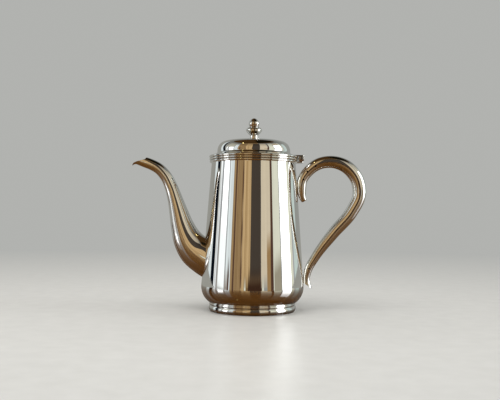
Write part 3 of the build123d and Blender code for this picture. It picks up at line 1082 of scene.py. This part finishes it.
# The soft cards round the pot, which the silver mirrors: first and last degree to the right of the camera's
# back, lowest and highest degree above the table, colour, and degrees sideways for each degree of height.
CARDS = (
    (-122, -110, -2, 45, PALE, -0.45),
    (-110, -98.5, -3, 45, NAVY, -0.45),
    (-98, -67, 22, 46, GREY_CREAM, 0),
    (-98, -91.5, -2, 22, WINDOW_LEFT, 0),
    (-96, -94, -2, 9, FRAME_GREY, 0),
    (-91.5, -86, -2, 22, FRAME_GREY, 0),
    (-89, -87, -2, 5.5, WINDOW_STREAK, 0),
    (-86, -67, 0.5, 22, WINDOW_LEFT, 0),
    (-83, -70, 6, 16, WINDOW, 0),
    (-67, -64.5, -2, 40, FRAME_GREY, 0),
    (-64.5, -60, -2, 40, PALE_BRIGHT, 0),
    (-60, -52.5, -2, 40, PALE, 0),
    (-66, -59, -2, 2.4, WINDOW_STREAK, 0),
    (-59, -55, -2, 3.6, DARK_WOOD, 0),
    (-46.5, -43, -2, 20, DARK_WOOD, 0),
    (-28, -25, 2.5, 5.0, DARK_WOOD, 0),
    (-28, -25, 6.0, 8.2, DARK_WOOD, 0),
    (-28, -25, 9.3, 12.5, DARK_WOOD, 0),
    (-20, 22, -2, 3.2, OAK_SHADED_DARK, 0),
    (-19, -15, -2, 3.0, CREAM, 0),
    (-6.5, 18.5, 3.2, 50, DOORWAY, 0.06),
    (-10, 20, -2, 3.8, THRESHOLD, 0),
    (18.5, 43, 3.0, 50, BEIGE, 0.06),
    (21, 25, -2, 3.0, CREAM, 0),
    (33, 43, -2, 6.0, OAK_DARK, 0),
    (41, 48, -2, 48, DARK_WOOD, 0.2),
    (48, 68, -2, 50, CREAM, 0.1),
    (50, 70, -2, 3.8, CREAM_LOW, 0),
    (68, 71, -2, 40, FRAME_GREY, 0),
    (71, 97, 33, 48, BEIGE, 0),
    (71, 97, -2, 33, WINDOW, 0),
    (97, 107, -2, 45, CREAM, 0),
    (107, 111, -2, 40, FRAME_GREY, 0),
    (111, 128, -2, 34, PALE_CYAN, 0),
    (-181, 181, 54, 92, CEILING, 0),
    (18, 165, 59, 92, CEILING_DARK, 0),
)


def card(tree, bearing, lift, below, first, last, bottom, top, colour, lean):
    """Lays one card of the room over what is below it, with edges softened by a fraction of a degree."""
    soft_side, soft_end = math.radians(0.6), math.radians(0.8)
    if lean:
        bearing = maths(tree, "SUBTRACT", bearing, maths(tree, "MULTIPLY", lift, lean))
    masks = []
    for angle, a, b, soft in ((bearing, first, last, soft_side), (lift, bottom, top, soft_end)):
        half, middle = math.radians(b - a) / 2, math.radians(a + b) / 2
        off = maths(tree, "ABSOLUTE", maths(tree, "SUBTRACT", angle, middle), 0.0)
        masks.append(remap(tree, off, half + soft, half - soft, 0.0, 1.0))
    return mixed(tree, maths(tree, "MULTIPLY", *masks), below, colour)


def world():
    """The room of soft cards for mirrored rays, plain white for the floor, and a grey backdrop."""
    scene_world = bpy.data.worlds.new("studio")
    bpy.context.scene.world = scene_world
    scene_world.use_nodes = True
    tree = scene_world.node_tree
    tree.nodes.clear()
    direction = tree.nodes.new("ShaderNodeTexCoord").outputs["Generated"]
    parts = tree.nodes.new("ShaderNodeSeparateXYZ")
    tree.links.new(direction, parts.inputs[0])
    x, y, z = parts.outputs
    bearing = maths(tree, "ARCTAN2", x, maths(tree, "MULTIPLY", y, -1.0))
    lift = maths(tree, "ARCSINE", z, 0.0)

    place = tree.nodes.new("ShaderNodeCombineXYZ")
    tree.links.new(bearing, place.inputs[0])
    tree.links.new(lift, place.inputs[1])
    streaks = remap(tree, noise(tree, place.outputs[0], 1.0, 5, (38, 1.5, 1)), 0.36, 0.64, 0.0, 1.0)
    oak = mixed(tree, streaks, OAK_DARK, OAK_LIGHT)
    shaded_oak = mixed(tree, streaks, OAK_SHADED_DARK, OAK_SHADED_LIGHT)

    to_right = remap(tree, bearing, math.radians(-2), math.radians(2), 0.0, 1.0)
    room = mixed(tree, to_right, WALL_GREY, WALL_RIGHT)
    room = card(tree, bearing, lift, room, -26, 17, -2, 60, oak, 0)
    room = card(tree, bearing, lift, room, -52.5, -26, -2, 60, shaded_oak, 0)
    for first_, last, bottom, top, colour, lean in CARDS:
        room = card(tree, bearing, lift, room, first_, last, bottom, top, colour, lean)
    shade = tree.nodes.new("ShaderNodeMix")
    shade.data_type = "RGBA"
    shade.blend_type = "MULTIPLY"
    shade.inputs["Factor"].default_value = 1.0
    fine = remap(tree, noise(tree, place.outputs[0], 1.0, 4, (70, 3, 1)), 0.3, 0.7, 0.86, 1.06)
    low_edge, high_edge, full, dim = DIMMING
    dimmed = remap(tree, lift, math.radians(low_edge), math.radians(high_edge), full, dim)
    fine = maths(tree, "MULTIPLY", fine, dimmed)
    tint = tree.nodes.new("ShaderNodeCombineXYZ")
    for socket in tint.inputs:
        tree.links.new(fine, socket)
    tree.links.new(room, [s for s in shade.inputs if s.name == "A" and s.type == "RGBA"][0])
    tree.links.new(tint.outputs[0], [s for s in shade.inputs if s.name == "B" and s.type == "RGBA"][0])
    room = [s for s in shade.outputs if s.type == "RGBA"][0]

    a, e = math.radians(LAMP_BEARING), math.radians(LAMP_LIFT)
    lamp = tree.nodes.new("ShaderNodeVectorMath")
    lamp.operation = "DOT_PRODUCT"
    tree.links.new(direction, lamp.inputs[0])
    lamp.inputs[1].default_value = (math.sin(a) * math.cos(e), -math.cos(a) * math.cos(e), math.sin(e))
    edge = math.cos(math.radians(LAMP_RADIUS))
    core = math.cos(math.radians(LAMP_RADIUS * 0.6))
    room = mixed(tree, remap(tree, lamp.outputs["Value"], edge, core, 0.0, 1.0), room, LAMP)

    path = tree.nodes.new("ShaderNodeLightPath")
    colour = mixed(tree, path.outputs["Is Diffuse Ray"], room, (0.95, 0.95, 0.95, 1))
    colour = mixed(tree, path.outputs["Is Camera Ray"], colour, BACKDROP)
    background = tree.nodes.new("ShaderNodeBackground")
    tree.links.new(colour, background.inputs["Color"])
    out = tree.nodes.new("ShaderNodeOutputWorld")
    tree.links.new(background.outputs[0], out.inputs[0])


def soft_light(name, place, size, power):
    """A soft overhead light that lights the floor and isn't mirrored in the silver."""
    data = bpy.data.lights.new(name, "AREA")
    data.shape = "SQUARE"
    data.size = size
    data.energy = power
    obj = bpy.data.objects.new(name, data)
    obj.location = place
    obj.rotation_euler = (Vector((0, 0, 0.08)) - Vector(place)).to_track_quat("-Z", "Y").to_euler()
    obj.visible_glossy = False
    obj.visible_camera = False
    bpy.context.scene.collection.objects.link(obj)


def camera():
    data = bpy.data.cameras.new("camera")
    data.sensor_width = 36
    data.lens = 52.6
    obj = bpy.data.objects.new("camera", data)
    bpy.context.scene.collection.objects.link(obj)
    place = Vector((-0.0033, -0.730, 0.094))
    pitch, roll = math.radians(1.26), math.radians(0.6)
    aim = Matrix.Rotation(math.radians(90) + pitch, 4, "X") @ Matrix.Rotation(roll, 4, "Z")
    obj.matrix_world = Matrix.Translation(place) @ aim
    bpy.context.scene.camera = obj


floor()
world()
soft_light("overhead", (-0.3, -0.6, 1.4), 1.0, 12)
camera()
bpy.context.scene.view_settings.view_transform = "Standard"
